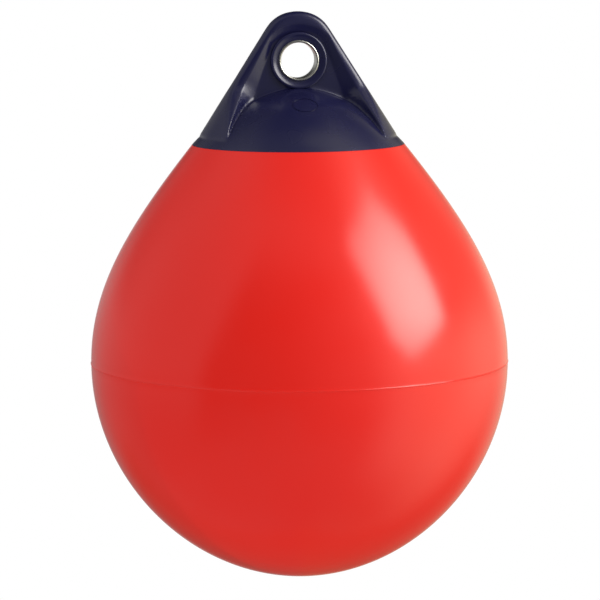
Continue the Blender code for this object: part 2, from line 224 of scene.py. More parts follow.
# rotationally moulded and unpolished: a soft gloss that blurs the highlight's edge, a faint orange
# peel, and slow waves where the shell shrank unevenly as it cooled
soft_red_pvc = new_material("soft_red_pvc_rotomoulded")
tree = soft_red_pvc.node_tree
place = add_node(tree, "ShaderNodeTexCoord", {}, {})
peel = add_node(tree, "ShaderNodeTexNoise", {"Scale": 1 / ORANGE_PEEL, "Detail": 2.0},
                {"Vector": (place, "Object")})
waves = add_node(tree, "ShaderNodeTexNoise", {"Scale": 1 / SHRINKAGE, "Detail": 1.0},
                 {"Vector": (place, "Object")})
slow = add_node(tree, "ShaderNodeBump", {"Strength": 0.25, "Distance": 0.0004}, {"Height": (waves, "Fac")})
bump = add_node(tree, "ShaderNodeBump", {"Strength": 0.05, "Distance": 0.0001},
                {"Height": (peel, "Fac"), "Normal": (slow, "Normal")})
gloss = add_node(tree, "ShaderNodeMapRange",
                 {"From Min": 0.3, "From Max": 0.7, "To Min": 0.19, "To Max": 0.22},
                 {"Value": (waves, "Fac")})
shader = add_node(tree, "ShaderNodeBsdfPrincipled", {"Base Color": linear(BODY_RED), "IOR": PVC_IOR},
                  {"Roughness": (gloss, "Result"), "Normal": (bump, "Normal")})
add_node(tree, "ShaderNodeOutputMaterial", {}, {"Surface": (shader, "BSDF")})
body.data.materials.append(soft_red_pvc)


# Rope hold
# Solid soft PVC, injection moulded and welded over the neck: a domed collar with one flat lug,
# which has a raised rim, a sunk web in each face and a boss round the eye.

DOME_HEIGHT = 0.1838
DOME_EDGE_PULL = 0.018
DOME_TOP_PULL = 0.029
DOME_EDGE_ANGLE = radians(42.0)
DOME_TOP_DROP = 0.0008
LUG_HALF_THICKNESS = 0.0080
LUG_FLARE_START = 0.0125      # below the eye, where its faces bend out into four legs
LUG_FLARE_BEND = 0.0120
LUG_FLARE_ANGLE = radians(47.2)
WEB_HALF_THICKNESS = 0.0045
LUG_FOOT_HEIGHT = 0.1500

# Each outline of the lug is a leg on both sides and a rounded crown: how far inside the collar's
# edge the legs land, then where they would cross and where the crown is, above the eye, then the
# radii of crown and corner
FLANK_LINE = (0.0012, 0.0548, 0.0326, 0.0302, 0.0228)
RIM_LINE = (0.0130, 0.0547, 0.0246, 0.0300, 0.0085)
WEB_LINE = (0.0292, 0.0611, 0.0188, 0.0240, 0.0060)
OUTLINE_STEPS = 60            # along each leg of a pocket
POCKET_OVERREACH = 1.6        # width of the pocket's tool, in shares of its wall, so that it passes the rim
RIM_GRAIN = 0.0012            # voxel and smoothing that round the rim's outer edge to about 5 mm
RIM_PASSES = 34
MOULD_GRAIN = 0.00065         # voxel and smoothing from which the moulding's other soft edges come
MOULD_PASSES = 4
FOOT_FILLET = 0.0055          # height over the collar up to which the lug's foot is filleted
FOOT_FADE = 0.002
FOOT_PASSES = 10
ARCH_END = 0.046              # more of it along the arch below the eye, up to this far to each side
ARCH_FADE = 0.014
ARCH_PASSES = 46
DOME_BLEND = 0.0012           # what smoothing left this close to the dome is laid back on it
DOME_SUNK = 0.0015            # and what it sank by less than this
DOME_EDGE_KEPT = 0.0004
COLLAR_SEGMENTS = 192
EYE_SEGMENTS = 160
SPOT_SEGMENTS = 96
STOCK_LIP = 0.004             # spare stock under the collar, below its edge and then straight down
STOCK_DEPTH = 0.003
COLLAR_STEPS = 40
CREST_STEPS = 120
SPOT_STEPS = 200
VAULT_STEPS = 24
LIP_STEPS = 14
TOOL_REACH = 0.03             # how far the large cutting tools go on, well past what they cut
SEAT_TOOL_ABOVE = 0.004
SEAT_TOOL_BELOW = 0.01
GROOVE_TOOL_ABOVE = 0.003
SHARP_ANGLE = radians(40.0)   # edges sharper than this stay sharp in the shading
SLEEVE_CLEAR_RADIUS = 0.0119
SLEEVE_WALL = 0.0010
SLEEVE_RADIUS = SLEEVE_CLEAR_RADIUS + SLEEVE_WALL
BORE_RADIUS = SLEEVE_RADIUS + GAP
BOSS_RADIUS = 0.0190
BOSS_HALF_LENGTH = 0.0072
BOSS_LIP_WIDTH = 0.0026
LEAD_IN_DEPTH = 0.0016
LEAD_IN_SLOPE = radians(34.0)
SPOT_REACH = 0.0336
SPOT_RADIUS = 0.0087
SPOT_GROOVE = 0.0009
SPOT_GROOVE_DEPTH = 0.0008
SEAT_FLANGE = 0.0022
SEAT_RADIUS = 0.0058
SEAT_LENGTH = 0.0175
SEAT_STANDS = 0.0004


def dome_outline(steps):
    """The collar's outside from the dome's top down to the collar's edge."""
    edge = (COLLAR_RADIUS, COLLAR_HEIGHT)
    pull_edge = (edge[0] - sin(DOME_EDGE_ANGLE) * DOME_EDGE_PULL,
                 edge[1] + cos(DOME_EDGE_ANGLE) * DOME_EDGE_PULL)
    return bezier((0.0, DOME_HEIGHT), (DOME_TOP_PULL, DOME_HEIGHT - DOME_TOP_DROP), pull_edge, edge, steps)


def crowned(line, leg_steps=16, corner_steps=10, crown_steps=10):
    """One half of an outline from its foot to its crown: a leg, a corner, a crown."""
    inset, cross, top, crown, corner = line
    angle = atan2(COLLAR_RADIUS - inset, cross - up(COLLAR_HEIGHT))
    foot = up(LUG_FOOT_HEIGHT)
    h = cross - top + crown
    middle = h * cos(angle)
    rest = h ** 2 + corner ** 2 - 2 * h * corner * sin(angle) - (crown - corner) ** 2
    down = middle - sqrt(middle ** 2 - rest)
    tangent = (down * sin(angle), cross - down * cos(angle))
    centre = (tangent[0] - corner * cos(angle), tangent[1] - corner * sin(angle))
    turn = atan2(centre[1] - (top - crown), centre[0])
    points = []
    for i in range(leg_steps):
        z = foot + (tangent[1] - foot) * i / leg_steps
        points.append(((cross - z) * tan(angle), z))
    for i in range(corner_steps):
        at = angle + (turn - angle) * i / corner_steps
        points.append((centre[0] + corner * cos(at), centre[1] + corner * sin(at)))
    for i in range(crown_steps):
        at = turn + (pi / 2 - turn) * i / crown_steps
        points.append((crown * cos(at), top - crown + crown * sin(at)))
    return points + [(0.0, top)]


def lug_depth(z):
    """Half the lug's thickness: even round the eye, then a bend, then a straight slope outwards."""
    fall = max(-LUG_FLARE_START - z, 0.0)
    bent = min(fall, LUG_FLARE_BEND * sin(LUG_FLARE_ANGLE))
    return (LUG_HALF_THICKNESS + LUG_FLARE_BEND - sqrt(LUG_FLARE_BEND ** 2 - bent ** 2)
            + (fall - bent) * tan(LUG_FLARE_ANGLE))


def laid(made, turn, place):
    """Turn and place a piece, and put both into its mesh."""
    made.rotation_euler = turn
    made.location = place
    bpy.ops.object.select_all(action="DESELECT")
    made.select_set(True)
    bpy.context.view_layer.objects.active = made
    bpy.ops.object.transform_apply(location=True, rotation=True, scale=True)
    return made


def along_eye(made, spin=0.0):
    """Lay a turned piece along the eye, after a spin about its own axis."""
    return laid(made, (pi / 2, spin, 0.0), (0.0, 0.0, 0.0))


def on_spot(made, facing_side):
    """Stand a piece on the dome where the valve or its blind twin is: -1 is the front, +1 the back."""
    outline = dome_outline(SPOT_STEPS)
    below = next(i for i, (r, z) in enumerate(outline) if r >= SPOT_REACH)
    (r0, z0), (r1, z1) = outline[below - 1], outline[below]
    height = z0 + (SPOT_REACH - r0) / (r1 - r0) * (z1 - z0)
    lean = atan2(z0 - z1, r1 - r0)
    return laid(made, (-facing_side * lean, 0.0, 0.0), (0.0, facing_side * SPOT_REACH, up(height)))


def closed_up():
    """Merge the two ends of a drawn line, which leaves a loop."""
    bpy.ops.mesh.select_all(action="SELECT")
    bpy.ops.mesh.remove_doubles(threshold=WELD)


def cut_with(made, tool, operation):
    """Join a tool to a piece, or cut it with the tool, and throw the tool away."""
    finish_with(made, "BOOLEAN", operation=operation, object=tool, solver="EXACT")
    bpy.data.objects.remove(tool, do_unlink=True)


# the lug's sides are one cone with a rounded tip, and its two faces sweep out into the collar: a slab
# with that profile is drawn from below the foot to above the crown, and what both hold is kept
SLAB_BELOW = 0.004
SLAB_SWEEP = 0.0625
SLAB_STEPS = 40
SLAB_TOP = 0.06
SLAB_HALF_WIDTH = 0.1
flank = crowned(FLANK_LINE)[::-1]
lug = turned("rope_hold_moulding", flank + [(0.0, up(LUG_FOOT_HEIGHT))], BODY_SEGMENTS)
heights = [up(LUG_FOOT_HEIGHT) - SLAB_BELOW + SLAB_SWEEP * i / SLAB_STEPS for i in range(SLAB_STEPS + 1)]
profile = [(-lug_depth(z), z) for z in heights + [SLAB_TOP]]
profile += [(-y, z) for y, z in profile[::-1]]
slab = drawn("faces", [(-SLAB_HALF_WIDTH, y, z) for y, z in profile + profile[:1]])
closed_up()
bpy.ops.mesh.edge_face_add()
bpy.ops.mesh.extrude_region_move(TRANSFORM_OT_translate={"value": (2 * SLAB_HALF_WIDTH, 0, 0)})
bpy.ops.mesh.select_all(action="SELECT")
bpy.ops.mesh.normals_make_consistent(inside=False)
bpy.ops.object.mode_set(mode="OBJECT")
cut_with(lug, slab, "INTERSECT")
finish_with(lug, "REMESH", mode="VOXEL", voxel_size=RIM_GRAIN)
finish_with(lug, "SMOOTH", factor=0.5, iterations=RIM_PASSES)

# a pocket in the front face and one in the back, from the web's outline out to the rim's and beyond
rim_half, web_half = crowned(RIM_LINE, OUTLINE_STEPS), crowned(WEB_LINE, OUTLINE_STEPS)
for side_of in (-1, 1):
    web_loop = [(x, side_of * WEB_HALF_THICKNESS, z) for x, z in web_half]
    rim_loop = [(x, side_of * lug_depth(z), z) for x, z in rim_half]
    outer_loop = [tuple(w + POCKET_OVERREACH * (r - w) for w, r in zip(a, b))
                  for a, b in zip(web_loop, rim_loop)]
    loops = []
    for name, half in (("pocket_floor", web_loop), ("pocket_mouth", outer_loop)):
        loop = half + [(-x, y, z) for x, y, z in half[::-1][1:]]
        loops.append(drawn(name, loop + loop[:1]))
        closed_up()
        bpy.ops.object.mode_set(mode="OBJECT")
    loops[0].select_set(True)
    bpy.ops.object.join()
    pocket = bpy.context.object
    bpy.ops.object.mode_set(mode="EDIT")
    bpy.ops.mesh.select_all(action="SELECT")
    bpy.ops.mesh.bridge_edge_loops()
    bpy.ops.mesh.select_all(action="SELECT")
    bpy.ops.mesh.fill_holes(sides=0)
    bpy.ops.mesh.normals_make_consistent(inside=False)
    bpy.ops.object.mode_set(mode="OBJECT")
    cut_with(lug, pocket, "DIFFERENCE")

# the collar is joined on with spare stock below, so that its lower edge is cut crisp at the end
spare = (COLLAR_RADIUS + STOCK_LIP * sin(DOME_EDGE_ANGLE), COLLAR_HEIGHT - STOCK_LIP * cos(DOME_EDGE_ANGLE))
stock = dome_outline(COLLAR_STEPS) + [spare]
stock += [(spare[0], spare[1] - STOCK_DEPTH), (0.0, spare[1] - STOCK_DEPTH)]
turned("collar", [(r, up(z)) for r, z in stock], COLLAR_SEGMENTS)
lug.select_set(True)
bpy.context.view_layer.objects.active = lug
bpy.ops.object.join()
finish_with(lug, "REMESH", mode="VOXEL", voxel_size=MOULD_GRAIN)
finish_with(lug, "SMOOTH", factor=0.5, iterations=MOULD_PASSES)
crest = dome_outline(CREST_STEPS)
radii = [r for r, z in crest]


def over_dome(place):
    """How far a point lies above the collar's dome."""
    away = hypot(place[0], place[1])
    beside = min(max(bisect(radii, away), 1), len(crest) - 1)
    (r0, z0), (r1, z1) = crest[beside - 1], crest[beside]
    return place[2] - up(z0 + (z1 - z0) * (away - r0) / (r1 - r0))


# the fillet round the lug's foot, which is wider below the eye
foot_of_lug = lug.vertex_groups.new(name="foot_of_lug")
arch = lug.vertex_groups.new(name="arch")
for vertex in lug.data.vertices:
    share = min(max((FOOT_FILLET - over_dome(vertex.co)) / FOOT_FADE, 0.0), 1.0)
    foot_of_lug.add([vertex.index], share, "REPLACE")
    share *= min(max((ARCH_END - abs(vertex.co.x)) / ARCH_FADE, 0.0), 1.0)
    arch.add([vertex.index], share, "REPLACE")
finish_with(lug, "SMOOTH", factor=0.5, iterations=FOOT_PASSES, vertex_group="foot_of_lug")
finish_with(lug, "SMOOTH", factor=0.5, iterations=ARCH_PASSES, vertex_group="arch")

# the open dome is laid back on its own true curve
for vertex in lug.data.vertices:
    over = over_dome(vertex.co)
    if over > -DOME_SUNK and hypot(vertex.co.x, vertex.co.y) < COLLAR_RADIUS - DOME_EDGE_KEPT:
        share = min(max(over / DOME_BLEND, 0.0), 1.0)
        vertex.co.z -= over * (1 - share * share * (3 - 2 * share))

# the collar's lower edge is cut square to the shoulder, and its underside is a shallow vault
edge = collar_point(SKIRT_THICKNESS, 0.0)
roof = vault(0.0, edge[0], 0.0, VAULT_STEPS)[::-1]
beyond = collar_point(-TOOL_REACH, 0.0)
below = COLLAR_HEIGHT - 2 * TOOL_REACH
hollow = roof + [beyond, (beyond[0], below), (0.0, below)]
cut_with(lug, turned("hollow", [(r, up(z)) for r, z in hollow], COLLAR_SEGMENTS), "DIFFERENCE")

# the boss and the holes stay crisp, as the mould's pins left them; the tools stand clear of the faces
lip_height = BOSS_HALF_LENGTH - BOSS_LIP_WIDTH / 2
lip_ring = BOSS_RADIUS - BOSS_LIP_WIDTH / 2
turns = [pi / 2 + LEAD_IN_SLOPE - (pi / 2 + LEAD_IN_SLOPE) * i / LIP_STEPS
         for i in range(LIP_STEPS + 1)]
lip = [(lip_ring + cos(a) * BOSS_LIP_WIDTH / 2, lip_height + sin(a) * BOSS_LIP_WIDTH / 2) for a in turns]
floor_height = BOSS_HALF_LENGTH - LEAD_IN_DEPTH
land = lip[0][0] - (lip[0][1] - floor_height) / tan(LEAD_IN_SLOPE)
half = [(0.0, floor_height), (land, floor_height)] + lip
cut_with(lug, along_eye(turned("boss", half + [(r, -z) for r, z in half[::-1]], EYE_SEGMENTS)), "UNION")
bore = [(0.0, TOOL_REACH), (BORE_RADIUS, TOOL_REACH), (BORE_RADIUS, -TOOL_REACH), (0.0, -TOOL_REACH)]
cut_with(lug, along_eye(turned("bore", bore, EYE_SEGMENTS), pi / EYE_SEGMENTS), "DIFFERENCE")
bottom = -SEAT_LENGTH - SEAT_TOOL_BELOW
ledge = SEAT_STANDS - SEAT_FLANGE - GAP
seat_room = [(0.0, SEAT_TOOL_ABOVE), (SPOT_RADIUS + GAP, SEAT_TOOL_ABOVE), (SPOT_RADIUS + GAP, ledge),
             (SEAT_RADIUS + GAP, ledge), (SEAT_RADIUS + GAP, bottom), (0.0, bottom)]
cut_with(lug, on_spot(turned("seat_room", seat_room, SPOT_SEGMENTS), 1), "DIFFERENCE")
groove = [(SPOT_RADIUS - SPOT_GROOVE, GROOVE_TOOL_ABOVE), (SPOT_RADIUS, GROOVE_TOOL_ABOVE),
          (SPOT_RADIUS, -SPOT_GROOVE_DEPTH), (SPOT_RADIUS - SPOT_GROOVE, -SPOT_GROOVE_DEPTH)]
cut_with(lug, on_spot(turned("groove", groove + groove[:1], SPOT_SEGMENTS), -1), "DIFFERENCE")
bpy.ops.object.select_all(action="DESELECT")
lug.select_set(True)
bpy.context.view_layer.objects.active = lug
bpy.ops.object.shade_smooth_by_angle(angle=SHARP_ANGLE)
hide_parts("rope_hold")
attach(lug, "root")


NAVY = "#19193B"
FLOW = 0.018
MOULD_TEXTURE = 0.0007

# injection moulded: satin from the fine texture of the mould, with slow waves where the thick
# sections shrank as they cooled, and its gloss a little uneven
soft_navy_pvc = new_material("soft_navy_pvc_moulded")
tree = soft_navy_pvc.node_tree
place = add_node(tree, "ShaderNodeTexCoord", {}, {})
waves = add_node(tree, "ShaderNodeTexNoise", {"Scale": 1 / FLOW, "Detail": 1.0},
                 {"Vector": (place, "Object")})
grain = add_node(tree, "ShaderNodeTexNoise", {"Scale": 1 / MOULD_TEXTURE, "Detail": 2.0},
                 {"Vector": (place, "Object")})
slow = add_node(tree, "ShaderNodeBump", {"Strength": 0.5, "Distance": 0.0004}, {"Height": (waves, "Fac")})
bump = add_node(tree, "ShaderNodeBump", {"Strength": 0.12, "Distance": 0.00006},
                {"Height": (grain, "Fac"), "Normal": (slow, "Normal")})
gloss = add_node(tree, "ShaderNodeMapRange",
                 {"From Min": 0.3, "From Max": 0.7, "To Min": 0.21, "To Max": 0.3}, {"Value": (waves, "Fac")})
shader = add_node(tree, "ShaderNodeBsdfPrincipled", {"Base Color": linear(NAVY), "IOR": PVC_IOR},
                  {"Roughness": (gloss, "Result"), "Normal": (bump, "Normal")})
add_node(tree, "ShaderNodeOutputMaterial", {}, {"Surface": (shader, "BSDF")})
lug.data.materials.append(soft_navy_pvc)


# Eye sleeve
# Thin stainless tube through the eye, pressed in, its two ends rolled out over the boss's lands.
# The rope or the shackle runs on it, so it has fine marks round its inside.

SLEEVE_LIP = 0.0007
ROLL_STEPS = 12
STEEL = "#C9C9C5"
ROLLING_MARKS = 0.0006

end = BOSS_HALF_LENGTH - LEAD_IN_DEPTH + GAP
roll = (SLEEVE_WALL + SLEEVE_LIP) / 2
turns = [pi * i / ROLL_STEPS for i in range(ROLL_STEPS + 1)]
top = [(SLEEVE_CLEAR_RADIUS + roll - cos(a) * roll, end + sin(a) * roll) for a in turns]
top += [(SLEEVE_RADIUS, end)]
tube = top + [(r, -z) for r, z in top[::-1]]
sleeve = along_eye(turned("sleeve_tube", [(r, z) for r, z in tube + tube[:1]], EYE_SEGMENTS))
bpy.ops.object.shade_smooth_by_angle(angle=SHARP_ANGLE)
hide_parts("eye_sleeve")
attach(sleeve, "root")
# the satin collar below the eye shows no spark of the sleeve's bright inside
sleeve.visible_glossy = False

# rolled stainless: bright, but softened by the fine lines that the rolling left round it
stainless = new_material("stainless_rolled")
tree = stainless.node_tree
place = add_node(tree, "ShaderNodeTexCoord", {}, {})
lines = add_node(tree, "ShaderNodeMapping", {"Scale": (0.05, 1.0, 0.05)}, {"Vector": (place, "Object")})
marks = add_node(tree, "ShaderNodeTexNoise", {"Scale": 1 / ROLLING_MARKS, "Detail": 3.0},
                 {"Vector": (lines, "Vector")})
bump = add_node(tree, "ShaderNodeBump", {"Strength": 0.25, "Distance": 0.00005}, {"Height": (marks, "Fac")})
gloss = add_node(tree, "ShaderNodeMapRange",
                 {"From Min": 0.3, "From Max": 0.7, "To Min": 0.2, "To Max": 0.34}, {"Value": (marks, "Fac")})
shader = add_node(tree, "ShaderNodeBsdfPrincipled", {"Base Color": linear(STEEL), "Metallic": 1.0},
                  {"Roughness": (gloss, "Result"), "Normal": (bump, "Normal")})
add_node(tree, "ShaderNodeOutputMaterial", {}, {"Surface": (shader, "BSDF")})
sleeve.data.materials.append(stainless)


# Valve
# In the back of the collar, opposite the blind spot: a black nylon seat pressed into its pocket, and
# a slotted nylon screw with a rubber ring under its head. It is how the buoy is blown up.

VALVE_BORE_RADIUS = 0.0034
SCREW_HEAD_RADIUS = 0.0056
SCREW_HEAD = 0.0018
SCREW_LENGTH = 0.0130
SLOT_WIDTH = 0.0013
SLOT_DEPTH = 0.0010
SEAL_THICKNESS = 0.0009
SEAL_MARGIN = 0.0004
SMALL_EDGE = 0.0004
THREAD_PITCHES = 6
THREAD_DEPTH = 0.0004
THREAD_START = 0.0015         # plain shank under the head
THREAD_MARGIN = 0.002         # plain shank at both ends together
EDGE_BULGE = 0.3              # how near an edge's middle comes to its sharp corner
VALVE_SHARP_ANGLE = radians(30.0)

top = SEAT_STANDS
recess = top - SCREW_HEAD - SEAL_THICKNESS
head_room = SCREW_HEAD_RADIUS + GAP
seat_outline = [(head_room, top - SMALL_EDGE / 2), (head_room + SMALL_EDGE / 2, top),
                (SPOT_RADIUS - SMALL_EDGE, top),
                (SPOT_RADIUS - EDGE_BULGE * SMALL_EDGE, top - EDGE_BULGE * SMALL_EDGE),
                (SPOT_RADIUS, top - SMALL_EDGE), (SPOT_RADIUS, top - SEAT_FLANGE),
                (SEAT_RADIUS, top - SEAT_FLANGE), (SEAT_RADIUS, -SEAT_LENGTH),
                (VALVE_BORE_RADIUS, -SEAT_LENGTH), (VALVE_BORE_RADIUS, recess), (head_room, recess)]
seat = on_spot(turned("valve_flange", seat_outline + seat_outline[:1], SPOT_SEGMENTS), 1)
shank = VALVE_BORE_RADIUS - GAP
head_foot = recess + SEAL_THICKNESS + 2 * GAP
screw_outline = [(0.0, top), (SCREW_HEAD_RADIUS - SMALL_EDGE, top),
                 (SCREW_HEAD_RADIUS - EDGE_BULGE * SMALL_EDGE, top - EDGE_BULGE * SMALL_EDGE),
                 (SCREW_HEAD_RADIUS, top - SMALL_EDGE), (SCREW_HEAD_RADIUS, head_foot), (shank, head_foot)]
thread_length = SCREW_LENGTH + head_foot - THREAD_MARGIN
for i in range(4 * THREAD_PITCHES + 1):
    root = shank - (THREAD_DEPTH if i % 4 in (1, 2) else 0.0)
    screw_outline.append((root, head_foot - THREAD_START - thread_length * i / (4 * THREAD_PITCHES)))
screw_outline += [(0.0, -SCREW_LENGTH - shank)]
screw = turned("valve_plug", screw_outline, SPOT_SEGMENTS)
bpy.ops.object.select_all(action="DESELECT")
bpy.ops.mesh.primitive_cube_add(size=1.0, location=(0.0, 0.0, top))
slot = bpy.context.object
slot.scale = (3 * SCREW_HEAD_RADIUS, SLOT_WIDTH, 2 * SLOT_DEPTH)
bpy.ops.object.transform_apply(scale=True)
cut_with(screw, slot, "DIFFERENCE")
on_spot(screw, 1)
seal_outline = [(shank + GAP, recess + GAP + SEAL_THICKNESS),
                (SCREW_HEAD_RADIUS - SEAL_MARGIN, recess + GAP + SEAL_THICKNESS),
                (SCREW_HEAD_RADIUS - SEAL_MARGIN, recess + GAP), (shank + GAP, recess + GAP)]
seal = on_spot(turned("valve_ring", seal_outline + seal_outline[:1], SPOT_SEGMENTS), 1)

NYLON_BLACK = "#1B1B1D"
NYLON_SCUFFED = "#2E2E30"
NYLON_GRAIN = 0.0004
SCUFF_SIZE = 0.003

# moulded nylon: nearly matt, with the faint grain of its mould and a few lighter scuffs
black_nylon = new_material("black_nylon_moulded")
tree = black_nylon.node_tree
place = add_node(tree, "ShaderNodeTexCoord", {}, {})
grain = add_node(tree, "ShaderNodeTexNoise", {"Scale": 1 / NYLON_GRAIN, "Detail": 2.0},
                 {"Vector": (place, "Object")})
scuffs = add_node(tree, "ShaderNodeTexNoise", {"Scale": 1 / SCUFF_SIZE, "Detail": 6.0, "Distortion": 1.2},
                  {"Vector": (place, "Object")})
worn = add_node(tree, "ShaderNodeMapRange", {"From Min": 0.6, "From Max": 0.72}, {"Value": (scuffs, "Fac")})
tone = add_node(tree, "ShaderNodeMixRGB", {"Color1": linear(NYLON_BLACK), "Color2": linear(NYLON_SCUFFED)},
                {"Fac": (worn, "Result")})
bump = add_node(tree, "ShaderNodeBump", {"Strength": 0.3, "Distance": 0.00003}, {"Height": (grain, "Fac")})
gloss = add_node(tree, "ShaderNodeMapRange",
                 {"From Min": 0.3, "From Max": 0.75, "To Min": 0.36, "To Max": 0.5},
                 {"Value": (scuffs, "Fac")})
shader = add_node(tree, "ShaderNodeBsdfPrincipled", {"IOR": 1.53},
                  {"Base Color": (tone, "Color"), "Roughness": (gloss, "Result"), "Normal": (bump, "Normal")})
add_node(tree, "ShaderNodeOutputMaterial", {}, {"Surface": (shader, "BSDF")})

RUBBER_BLACK = "#151515"
RUBBER_BLOOM = 0.0008

# moulded nitrile rubber: matt, with a fine bloom that dulls it here and there
black_rubber = new_material("black_nitrile_rubber")
tree = black_rubber.node_tree
place = add_node(tree, "ShaderNodeTexCoord", {}, {})
bloom = add_node(tree, "ShaderNodeTexNoise", {"Scale": 1 / RUBBER_BLOOM, "Detail": 4.0},
                 {"Vector": (place, "Object")})
dull = add_node(tree, "ShaderNodeMapRange", {"To Min": 0.65, "To Max": 0.85}, {"Value": (bloom, "Fac")})
shader = add_node(tree, "ShaderNodeBsdfPrincipled", {"Base Color": linear(RUBBER_BLACK), "IOR": 1.52},
                  {"Roughness": (dull, "Result")})
add_node(tree, "ShaderNodeOutputMaterial", {}, {"Surface": (shader, "BSDF")})

for piece, node, slot_name, finish in ((seat, "valve_seat", "black_nylon", black_nylon),
                                       (screw, "valve_screw", "black_nylon", black_nylon),
                                       (seal, "valve_seal", "black_rubber", black_rubber)):
    bpy.ops.object.select_all(action="DESELECT")
    piece.select_set(True)
    bpy.context.view_layer.objects.active = piece
    bpy.ops.object.shade_smooth_by_angle(angle=VALVE_SHARP_ANGLE)
    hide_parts(node)
    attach(piece, "root")
    piece.data.materials.append(finish)


# Camera
# At the photograph's viewing angle: a little to the left of the lug's face and above the body.

PIXEL = 0.0006718             # metres in the photograph for each pixel, at the buoy's axis
FRAME = 600                   # pixels across the photograph
CAMERA_AZIMUTH = radians(-8.0)
CAMERA_AWAY = 2.2975
CAMERA_HEIGHT = 0.331
AIM_HEIGHT = 0.0408
CAMERA_ROLL = radians(-0.35)
SIDESTEP = 0.0006


def around(azimuth, away, z):
    """A point at an angle round the buoy: 0 is in front of the lug, positive is to its right."""
    return Vector((sin(azimuth) * away, -cos(azimuth) * away, z))


aside = Vector((cos(CAMERA_AZIMUTH), sin(CAMERA_AZIMUTH), 0.0)) * SIDESTEP
aim = Vector((0.0, 0.0, up(AIM_HEIGHT))) + aside
place = around(CAMERA_AZIMUTH, CAMERA_AWAY, up(CAMERA_HEIGHT)) + aside
lens = bpy.data.cameras.new("camera")
camera = bpy.data.objects.new("camera", lens)
bpy.context.scene.collection.objects.link(camera)
turn = (aim - place).to_track_quat("-Z", "Y").to_matrix().to_4x4()
camera.matrix_world = Matrix.Translation(place) @ turn @ Matrix.Rotation(CAMERA_ROLL, 4, "Z")
lens.sensor_width = 36.0
lens.lens = lens.sensor_width * (aim - place).length / (FRAME * PIXEL)
lens.clip_end = 50.0
bpy.context.scene.camera = camera


# Studio
# One big softbox at the right, above the buoy's height, a dark gap beside the camera, and pale walls
# all round. The buoy hangs over a pale floor in front of plain white.

STUDIO_CENTRE = Vector((0.0, 0.0, up(0.04)))
KEY_DISTANCE = 1.6
KEY_AZIMUTH = 70.0            # degrees to the right of the camera's side
KEY_ELEVATION = 30.0
KEY_RADIANCE = 9.6
KEY_EDGE_SHARE = 0.45         # of its brightness, at its rim
KEY_COLOUR = (1.0, 0.975, 0.91, 1)
LAMP_AZIMUTH = 72.0
LAMP_RADIANCE = 3.9
LAMP_WIDTH = 0.64             # in shares of the distance
LAMP_HEIGHT = 0.84


def facing(azimuth, elevation, distance):
    """Place and turn of a panel that faces the buoy, by angles from the camera's side."""
    azimuth = CAMERA_AZIMUTH + radians(azimuth)
    elevation = radians(elevation)
    back = Vector((sin(azimuth) * cos(elevation), -cos(azimuth) * cos(elevation), sin(elevation)))
    face = (-back).to_track_quat("-Z", "Y").to_matrix().to_4x4()
    return Matrix.Translation(STUDIO_CENTRE + back * distance) @ face


# the softbox as the gloss shows it, a rectangle with cut corners, in shares of its distance
corners = [(-0.335, 0.475), (0.128, 0.414), (0.335, 0.209), (0.335, -0.272), (-0.194, -0.52),
           (-0.345, -0.28)]
softbox = drawn("softbox", [(x * KEY_DISTANCE, y * KEY_DISTANCE, 0.0) for x, y in corners + corners[:1]])
closed_up()
bpy.ops.mesh.edge_face_add()
bpy.ops.object.mode_set(mode="OBJECT")
softbox.matrix_world = facing(KEY_AZIMUTH, KEY_ELEVATION, KEY_DISTANCE)
softbox.visible_camera = False
softbox.visible_diffuse = False
softbox.visible_shadow = False

# the cloth over its lamp: brightest in the middle, and a little warm
lit_cloth = new_material("lit_softbox_cloth")
tree = lit_cloth.node_tree
spread = add_node(tree, "ShaderNodeTexCoord", {}, {})
middle = add_node(tree, "ShaderNodeMapping", {"Location": (-0.02, 0.10, 0.0)}, {"Vector": (spread, "Object")})
off = add_node(tree, "ShaderNodeVectorMath", {"operation": "LENGTH"}, {"Vector": (middle, "Vector")})
dimmer = add_node(tree, "ShaderNodeMapRange",
                  {"interpolation_type": "SMOOTHSTEP", "From Min": 0.15, "From Max": 0.95,
                   "To Min": KEY_RADIANCE, "To Max": KEY_EDGE_SHARE * KEY_RADIANCE},
                  {"Value": (off, "Value")})
shader = add_node(tree, "ShaderNodeEmission", {"Color": KEY_COLOUR}, {"Strength": (dimmer, "Result")})
add_node(tree, "ShaderNodeOutputMaterial", {}, {"Surface": (shader, "Emission")})
softbox.data.materials.append(lit_cloth)

# the same softbox again for matt surfaces only, held back so that the red doesn't burn out
lamp = bpy.data.lights.new("key", "AREA")
lamp.shape = "RECTANGLE"
lamp.size, lamp.size_y = LAMP_WIDTH * KEY_DISTANCE, LAMP_HEIGHT * KEY_DISTANCE
lamp.energy = LAMP_RADIANCE * pi * lamp.size * lamp.size_y
key = bpy.data.objects.new("key", lamp)
bpy.context.scene.collection.objects.link(key)
key.matrix_world = facing(LAMP_AZIMUTH, KEY_ELEVATION, KEY_DISTANCE)
key.visible_camera = False
key.visible_glossy = False

# a pale floor below the hanging buoy, too low and too small to show in the photograph's view; it
# takes the shadow, and the world below gives the light that it would throw back
FLOOR_DROP = 0.25
FLOOR_RADIUS = 0.95
FLOOR_SEGMENTS = 96
PAPER_WHITE = (0.93, 0.93, 0.93, 1)
PAPER_FIBRE = 0.0025
bpy.ops.object.select_all(action="DESELECT")
bpy.ops.mesh.primitive_circle_add(vertices=FLOOR_SEGMENTS, radius=FLOOR_RADIUS, fill_type="NGON",
                                  location=(0.0, 0.0, up(-BODY_DEPTH - FLOOR_DROP)))
floor = bpy.context.object
floor.name = "floor"
floor.visible_glossy = False
floor.visible_diffuse = False

